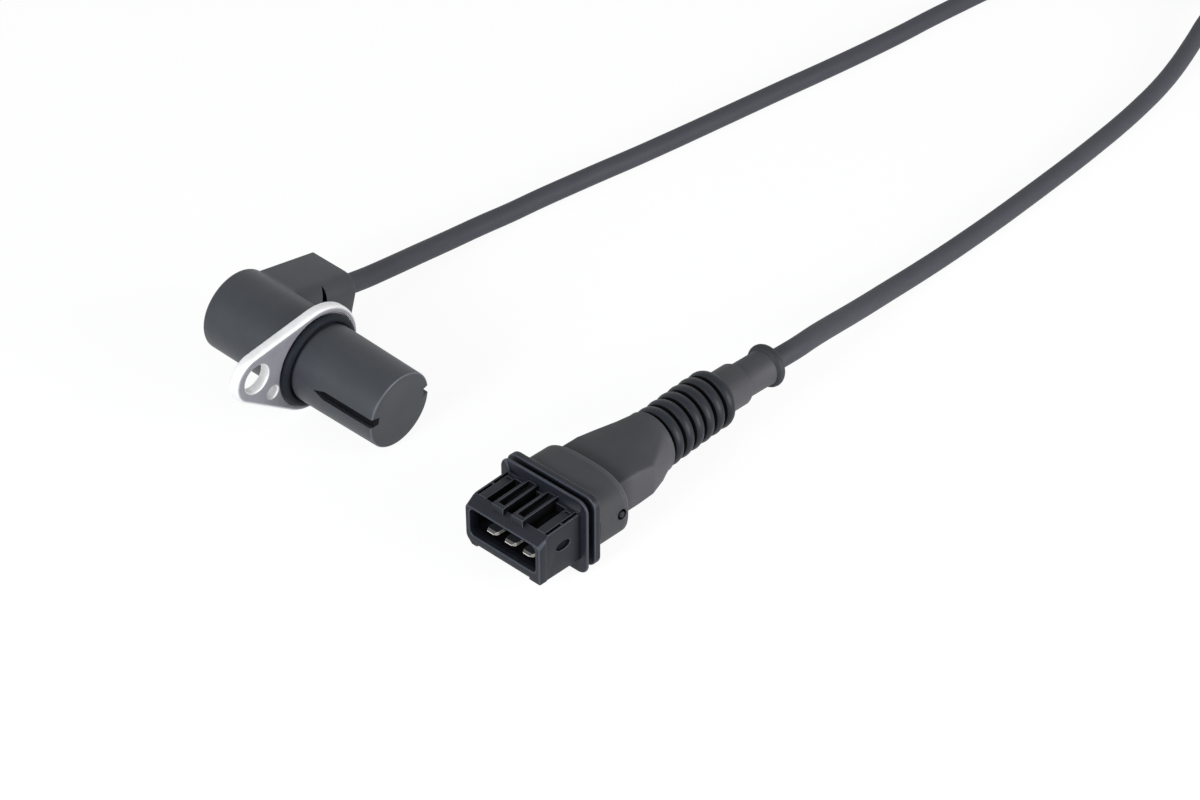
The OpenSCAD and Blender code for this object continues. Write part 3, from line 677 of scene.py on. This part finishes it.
dress("pole_pin", turned_metal("pole_iron", (0.5, 0.5, 0.52), rough=0.3, wear_size=0.4))
dress("magnet", turned_metal("magnet_metal", (0.13, 0.13, 0.14), rough=0.45, wear_size=0.3))
dress("coil_bobbin", glossy("former_plastic", (0.68, 0.63, 0.48), rough=0.45))
copper, start = finish("winding_copper", {"Metallic": 0.85})
along_nose = start.node("VectorMath", {"operation": "DOT_PRODUCT"},
                        {0: start.node("TexCoord", None, None, "Object"), 1: tuple(nose_way)}, "Value")
wires = start.node("Math", {"operation": "PINGPONG"}, {0: along_nose * (1 / (wire_pitch * mm)), 1: 0.5}) * 2.0
wires.tint((0.22, 0.08, 0.03), (0.62, 0.27, 0.11)).into("Base Color")
(0.42 - 0.15 * wires).into("Roughness")
wires.relief(0.08, 0.8).into("Normal")
dress("coil_winding", copper)
tin = turned_metal("pin_tin", (0.62, 0.59, 0.52), rough=0.32, wear_size=0.3)
for wire_end in ("terminal_signal", "terminal_ground", "terminal_screen"):
    dress(wire_end, tin)
dress("potting", glossy("casting_resin", (0.03, 0.03, 0.034), rough=0.25))
core_tints = {"signal": (0.55, 0.42, 0.06), "ground": (0.1, 0.06, 0.05), "screen": (0.7, 0.7, 0.7)}
core_skins = {}
for core, colour in core_tints.items():
    core_skins[core] = glossy("core_" + core, colour, rough=0.4)
    dress("head_core_" + core, core_skins[core])
dress("head_jacket_end", jacket)

# Plug housing
# A moulded housing with a mouth for the mating connector, two looped ribs that its latch rides over, and two
# collars that hold the boot. It is a denser, bluer and smoother plastic than the head.
outer_edge = 0.26
inner_edge = 0.12
corner_edge = 0.7
weld = 0.06
front_face = 0.1
front_end = 11.5
foot_top = 0.8
mouth_box = ((0.35, -9.3, 2.3), (10.2, 9.3, 8.9))
mouth_lit = (1.2, 2.2)
dimple_box = ((4.5, 9.3, 4.8), (9, 10.05, 7.5))
pocket_box = ((1.7, -9.9, 9.2), (front_end, 9.9, 14))
pocket_floor = 9.6
slot_box = ((2.6, 1.75, 10.5), (11.3, 3.65, 11.8))
stud_at = Vector((21.62, 0, 6.4))
stud_box = ((20, 10.5, 4), (24, 13, 9))
stud_draw = 0.6
skirt_rear = 24.0
spigot_start = skirt_rear - 0.5
spigot_draw = 0.72


def from_plug(x, y, z):
    """A place in the plug's own millimetres as a place in the scene."""
    return (plug_at + home + Vector((x, y, z))) * mm


def on_plug(point):
    """A place in the scene as the plug's own millimetres."""
    return point / mm - home - plug_at


def one_side(point):
    """A place on either side of the plug, as the one on the side that the boxes are given for."""
    return Vector((point.x, abs(point.y), point.z))


def within(point, box):
    """Whether a place lies in the box between two corners."""
    return all(low <= value <= high for value, low, high in zip(point, *box))


def is_corner(a, b):
    """Whether an edge runs back from the front face, above the foot and outside the mouth."""
    mostly = 0.8
    runs_back = min(a.x, b.x) < front_face and abs(a.x - b.x) > mostly * (a - b).length
    return runs_back and min(a.z, b.z) > foot_top and not within(a, mouth_box) and not within(b, mouth_box)


def is_outer(a, b):
    """Whether an edge lies on the front face or on the collars and what is behind them."""
    return max(a.x, b.x) < front_face or min(a.x, b.x) > front_end


def is_inner(a, b):
    """Whether an edge lies on the front part, behind its face."""
    return max(a.x, b.x) > front_face and min(a.x, b.x) < front_end


def sharp_edges(shape, chosen, sharp=25):
    """The outer edges that turn sharply and whose two ends, on the plug, pass a test."""
    outer = [edge for edge in shape.edges if edge.is_convex and edge.calc_face_angle() > math.radians(sharp)]
    return [edge for edge in outer if chosen(*(on_plug(vert.co) for vert in edge.verts))]


def rounded_over(shape, mark, edges, width):
    """Rounds edges over to a width. The rounded faces are marked as rim, for a painted highlight."""
    made = bmesh.ops.bevel(shape, geom=edges, offset=width * mm, offset_type="OFFSET", segments=4,
                           profile=0.5, affect="EDGES", clamp_overlap=False)
    for face in made["faces"]:
        face[mark] = 1


# The housing's rounded edges get a pale blue painted highlight.
housing_skin = moulded("housing_moulding", (0.009, 0.011, 0.016), (0.014, 0.016, 0.022),
                       edge_highlight=(0.058, 0.065, 0.085), shine=0.22, rough=0.36, spots=0.1, depth=0.015)
housing_shade_paint = deep_shade("housing_painted_shade", (0.003, 0.003, 0.004))
housing_half_shade = deep_shade("housing_half_shade", (0.009, 0.010, 0.015))
shell = bmesh.new()
shell.from_mesh(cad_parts["plug_housing"].data)
bmesh.ops.remove_doubles(shell, verts=shell.verts, dist=weld * mm)
bmesh.ops.dissolve_limit(shell, angle_limit=math.radians(0.1), verts=shell.verts, edges=shell.edges)
rim = shell.faces.layers.float.new("rim")
for vert in shell.verts:
    spot = on_plug(vert.co)
    if spot.x > spigot_start:
        vert.co = from_plug(spot.x, 0, boot_up).lerp(vert.co, spigot_draw)
    elif within(one_side(spot), stud_box):
        vert.co = from_plug(stud_at.x, spot.y, stud_at.z).lerp(vert.co, stud_draw)
for test, width in ((is_corner, corner_edge), (is_outer, outer_edge), (is_inner, inner_edge)):
    rounded_over(shell, rim, sharp_edges(shell, test), width)
# Painted shade in the mouth: its walls are cut at two depths. The skin stays in front of the first, a painted
# half shade lies between them and the near-black shade behind.
for depth in mouth_lit:
    walls = [face for face in shell.faces if within(on_plug(face.calc_center_median()), mouth_box)]
    borders = dict.fromkeys(edge for face in walls for edge in face.edges)
    corners = dict.fromkeys(vert for face in walls for vert in face.verts)
    bmesh.ops.bisect_plane(shell, geom=[*walls, *borders, *corners], plane_no=(1, 0, 0),
                           plane_co=from_plug(depth, 0, 0))
# Painted shade: the pockets, the slots and the deep mouth get the near-black colour, and the mouth's front
# band and the dimple a painted half shade.
for face in shell.faces:
    spot = on_plug(face.calc_center_median())
    mirrored = one_side(spot)
    upright = abs(face.normal.z) < 0.5
    in_pocket = within(spot, pocket_box) and (upright or spot.z < pocket_floor)
    in_mouth = within(spot, mouth_box) and spot.x > mouth_lit[0]
    if in_pocket or in_mouth or within(mirrored, slot_box):
        face.material_index = 1
    if in_mouth and spot.x < mouth_lit[1] or within(mirrored, dimple_box):
        face.material_index = 2
    if within(mirrored, stud_box):
        face[rim] = 0
housing = as_object(shell, "housing_shell", [housing_skin, housing_shade_paint, housing_half_shade])
piece(housing, "housing_plastic", "plug_housing")

# Contacts and cores in the plug
# Three flat tabs of tinned copper alloy with bevelled tips, each drawn into a crimp on its core. The tin is
# bright, and the flat tops that face up are painted near black as a painted shade.
tab_metal, start = finish("tab_tin", {"Metallic": 0.35})
drawn = grain(start, 0.5, stretch=(0.15, 1.0, 1.0))
upward = start.node("SeparateXYZ", None, {0: start.node("NewGeometry", None, None, "Normal")}, "Z")
bright = drawn.ramp(0.25, 0.75).tint((0.70, 0.65, 0.60), (0.88, 0.84, 0.78))
# Painted shade: faces that turn up are near black.
upward.ramp(0.75, 0.95).tint(bright, (0.05, 0.055, 0.065)).into("Base Color")
(0.2 + 0.16 * drawn).into("Roughness")
drawn.relief(0.015, 0.4).into("Normal")
for place, core in enumerate(core_tints, 1):
    dress(f"contact_{place}", tab_metal)
    dress(f"plug_core_{place}", core_skins[core])

# Boot
# One soft rubber moulding, pulled over the housing and held by two studs. The skirt steps down to a body with
# a crowned deck and creased sides, and rings, a sleeve and a bead let the lead bend without a kink.
skirt_front = 15.2
skirt_half = (11.9, 7.7)
skirt_up = 5.8
skirt_lip = 0.4
skirt_round = 0.9
skirt_power = 2.8
skirt_edge_highlight = 0.3
body_up = boot_up - 0.3
body_end = 42.2
body_rim_r = 6.9
crease_round = 0.8
taper_end = 43.2
ring_count = 6
ring_lead = 0.65
ring_pitch = 3.4
ring_r = 6.65
ring_half = 1.5
ring_deep = 1.15
ring_middles = [taper_end + (number + ring_lead) * ring_pitch for number in range(ring_count)]
rings_end = ring_middles[-1] + ring_half
stem_r = 5.4
sleeve_r = 4.85
sleeve_end = 70.9
tail_r = 4.05
tail_end = 79.2
tail_aside = 1.3
bead_r = 5.0
bead_half = 1.2
bead_end = tail_end + 2 * bead_half
bend_start = 38
bend_len = 26
return_start = 68
return_len = 12
stud_hole_r = 1.2
stud_hole_deep = 1.2
stud_hole_over = 1
quarter_steps = 48
row_steps = 8
lobe_steps = 10


def smooth(t):
    """From 0 to 1 with a soft start and end."""
    t = min(max(t, 0), 1)
    return t * t * (3 - 2 * t)


def mixed(low, high, t):
    """A value part of the way between two."""
    return low + (high - low) * t


def aside(x):
    """How far the lead draws the boot's axis to the side at a place along it."""
    drawn_out = tail_aside * smooth((x - bend_start) / bend_len)
    return drawn_out - (tail_aside - tail_shift) * smooth((x - return_start) / return_len)


def boot_point(x, y, z):
    """A place on the boot, across from its own axis."""
    return from_plug(x, y + aside(x), z)


def boot_loop(x, half_w, half_h, up, power=2):
    """An oval across the plug. Its sides are the flatter, the higher its power."""
    points = []
    for c, s in circle(1, 4 * quarter_steps):
        y = half_w * math.copysign(abs(c) ** (2 / power), c)
        z = half_h * math.copysign(abs(s) ** (2 / power), s)
        points.append(boot_point(x, y, up + z))
    return points


def skirt_station(x, inset):
    """A place along the skirt with its loop, drawn in by a distance."""
    return x, boot_loop(x, skirt_half[0] - inset, skirt_half[1] - inset, skirt_up, skirt_power)


def round_station(x, radius):
    """A place along the round part of the boot with its loop."""
    return x, boot_loop(x, radius, radius, boot_up)


def lobe(middle, half, top_r, deep):
    """The places and radii over a ring or bead, half an oval that stands out from the boot."""
    turns = [math.pi * i / lobe_steps for i in range(lobe_steps + 1)]
    return [(middle - half * math.cos(turn), top_r - deep + deep * math.sin(turn)) for turn in turns]


def body_quarter(crease_y, crease_z, side_y, crown):
    """A quarter of the body's outline, from the middle of its side over the crease to the middle above."""
    side_steps = 18
    crease_steps = 8
    deck_steps = quarter_steps - side_steps - crease_steps
    side_part = 1 - crease_round / crease_z
    deck_part = crease_round / crease_y

    def on_side(q):
        return Vector((crease_y + (side_y - crease_y) * (1 - q * q), crease_z * q))

    def on_deck(g):
        return Vector((crease_y * (1 - g), crease_z + crown * (1 - (1 - g) ** 2)))

    points = [on_side(side_part * i / side_steps) for i in range(side_steps)]
    corner = Vector((crease_y, crease_z))
    for i in range(crease_steps):
        t = i / crease_steps
        first = on_side(side_part).lerp(corner, t)
        points.append(first.lerp(corner.lerp(on_deck(deck_part), t), t))
    return points + [on_deck(mixed(deck_part, 1, i / deck_steps)) for i in range(deck_steps + 1)]


def body_loop(x, up, top_y, top_z, low_y, low_z, full, crown):
    """The body's outline: an upper and a lower crease on each side, the sides' fullness and the crown."""
    side_y = (top_y + low_y) / 2 + full
    above = body_quarter(top_y, top_z, side_y, crown)
    below = body_quarter(low_y, low_z, side_y, crown)
    right = [(p.x, p.y) for p in above] + [(-p.x, p.y) for p in above[-2::-1]]
    left = [(-p.x, -p.y) for p in below[1:]] + [(p.x, -p.y) for p in below[-2:0:-1]]
    return [boot_point(x, y, up + z) for y, z in right + left]


stations = [skirt_station(skirt_front, skirt_lip)]
stations += [skirt_station(x, 0) for x in (skirt_front + skirt_lip, 17, 19, 21, 22.4)]
stations += [skirt_station(skirt_rear - deep, inset) for inset, deep in quarter(skirt_round, 6)[::-1]]
# Each row: place along the plug, upper crease out and up, lower crease out and down, fullness, crown.
body_rows = ((skirt_rear + 0.1, 8.75, 4.2, 8.75, 4.2, 0.15, 1.0), (30, 8.75, 4.2, 8.75, 4.2, 0.15, 1.0),
             (34.2, 8.8, 3.3, 8.9, 3.8, 0.2, 1.9), (39, 6.15, 4.4, 7, 4.4, 1.15, 1.5),
             (body_end, 4.3, 5.4, 4.9, 4.9, 2.3, 1.5))
lift_start = body_rows[1][0]
for row, following in zip(body_rows, body_rows[1:]):
    for i in range(row_steps):
        x, *form = [mixed(low, high, i / row_steps) for low, high in zip(row, following)]
        lift = smooth((x - lift_start) / (body_end - lift_start))
        stations.append((x, body_loop(x, mixed(body_up, boot_up, lift), *form)))
profile = [(body_end, body_rim_r), (body_end + 0.5, body_rim_r), (taper_end - 0.2, body_rim_r - 0.15),
           (taper_end, body_rim_r - 0.5)]
stations += [round_station(*place) for place in profile]
# Painted shade: the gap before each ring and the lower part of its front flank get the near-black colour.
dark_bands = []
for middle in ring_middles:
    dark_bands += range(len(stations) - 1, len(stations) + 3)
    stations.append(round_station(middle - ring_pitch / 2, stem_r))
    stations += [round_station(*place) for place in lobe(middle, ring_half, ring_r, ring_deep)]
profile = [(rings_end + 0.1, sleeve_r + 0.3), (rings_end + 0.6, sleeve_r), (sleeve_end - 0.5, sleeve_r),
           (sleeve_end - 0.15, sleeve_r - 0.15), (sleeve_end, sleeve_r - 0.45),
           (sleeve_end + 0.2, tail_r + 0.1), (sleeve_end + 0.6, tail_r), (tail_end - 0.4, tail_r),
           (tail_end, tail_r + 0.1)]
profile += lobe(tail_end + bead_half, bead_half, bead_r, bead_half)
profile += [(bead_end, cable_d / 2 + 0.25), (bead_end - 0.4, cable_d / 2 - 0.05)]
stations += [round_station(*place) for place in profile]
skin = bmesh.new()
rim = skin.faces.layers.float.new("rim")
bands = capped(skin, [loop for _, loop in stations])
# The skirt's rear rounding is marked as rim for a painted highlight, and the band just before it in part.
for (x, _), band in zip(stations, bands):
    if skirt_rear - 2 * skirt_round < x < skirt_rear:
        for face in band:
            face[rim] = 1 if x > skirt_rear - skirt_round else skirt_edge_highlight
for number in dark_bands:
    for face in bands[number]:
        face.material_index = 1
boot_rubber, start = finish("boot_rubber", {"Specular IOR Level": 0.22, "Coat Roughness": 0.34})
fine = grain(start, 0.12, 2.0)
slow = grain(start, 6.0)
lengthwise = start.node("SeparateXYZ", None, {0: start.node("TexCoord", None, None, "Object")}, "X")
along_plug = lengthwise * (1 / mm) - (plug_at + home).x
plain = (0.4 * fine + 0.6 * slow).spread().tint((0.044, 0.045, 0.050), (0.055, 0.056, 0.061))
# Behind the skirt, faces turned sideways get a painted light, and the band just behind the step gets a
# painted shade.
behind = along_plug.ramp(skirt_rear, skirt_rear + 0.1)
sideways = start.node("SeparateXYZ", None, {0: start.node("NewGeometry", None, None, "Normal")}, "Y")
bloom_and_side_light = (behind * (sideways * sideways)).ramp(0.3, 0.75)
plain = (0.75 * bloom_and_side_light).tint(plain, (0.083, 0.082, 0.091))
foot = behind * (1 - along_plug.ramp(skirt_rear + 1.2, skirt_rear + 4.2))
plain = (0.6 * foot).tint(plain, (0.02, 0.021, 0.024))
# The skirt's rear edge gets a painted highlight, and the rings and the bead are darker and smoother.
edge = start.node("Attribute", {"attribute_name": "rim"}, None, "Fac")
plain = edge.tint(plain, (0.095, 0.095, 0.105))
past_taper = along_plug.ramp(taper_end - 0.1, taper_end + 0.2)
ring_zone = past_taper * (1 - along_plug.ramp(rings_end + 0.3, rings_end + 0.9))
on_bead = along_plug.ramp(tail_end - 0.3, tail_end + 0.3)
(ring_zone + 0.55 * on_bead).tint(plain, (0.007, 0.0095, 0.0145)).into("Base Color")
(0.52 + 0.16 * fine - 0.1 * ring_zone).into("Roughness")
(0.1 * ring_zone).into("Coat Weight")
(0.7 * fine + 0.3 * slow).relief(0.03, 0.5).into("Normal")
boot_shade_paint = deep_shade("boot_painted_shade", (0.004, 0.004, 0.005))
boot = as_object(skin, "boot_skin", [boot_rubber, boot_shade_paint])
for side in (-1, 1):
    hole_loops = []
    for y in (skirt_half[0] - stud_hole_deep, skirt_half[0] + stud_hole_over):
        hole_loops.append([from_plug(stud_at.x + x, side * y, stud_at.z + z)
                           for x, z in circle(stud_hole_r, 48)])
    hole = bmesh.new()
    capped(hole, hole_loops)
    # Painted shade: the stud holes get the near-black colour.
    for face in hole.faces:
        face.material_index = 1
    cut(boot, as_object(hole, "stud_hole", [boot_rubber, boot_shade_paint]), "DIFFERENCE")
piece(boot, "boot_rubber", "rubber_boot")

# End of the lead in the boot
# The cable's jacket goes on inside the boot's tail to where its cores part. It is the lead's own extruded
# jacket, cut square at its end.
inner_start = taper_end - 4
inner_steps = 24
inner_curve = round_curve("jacket_tail")
inner_curve.use_fill_caps = True
inner_line = inner_curve.splines.new("POLY")
inner_line.points.add(inner_steps)
for i, knot in enumerate(inner_line.points):
    knot.co = (*boot_point(mixed(inner_start, boot_end, i / inner_steps), 0, boot_up), 1)
    knot.radius = cable_d / 2 * mm
inner_curve.materials.append(jacket)
jacket_tail = placed("jacket_tail", inner_curve)
piece(jacket_tail, "jacket", "plug_jacket_end")
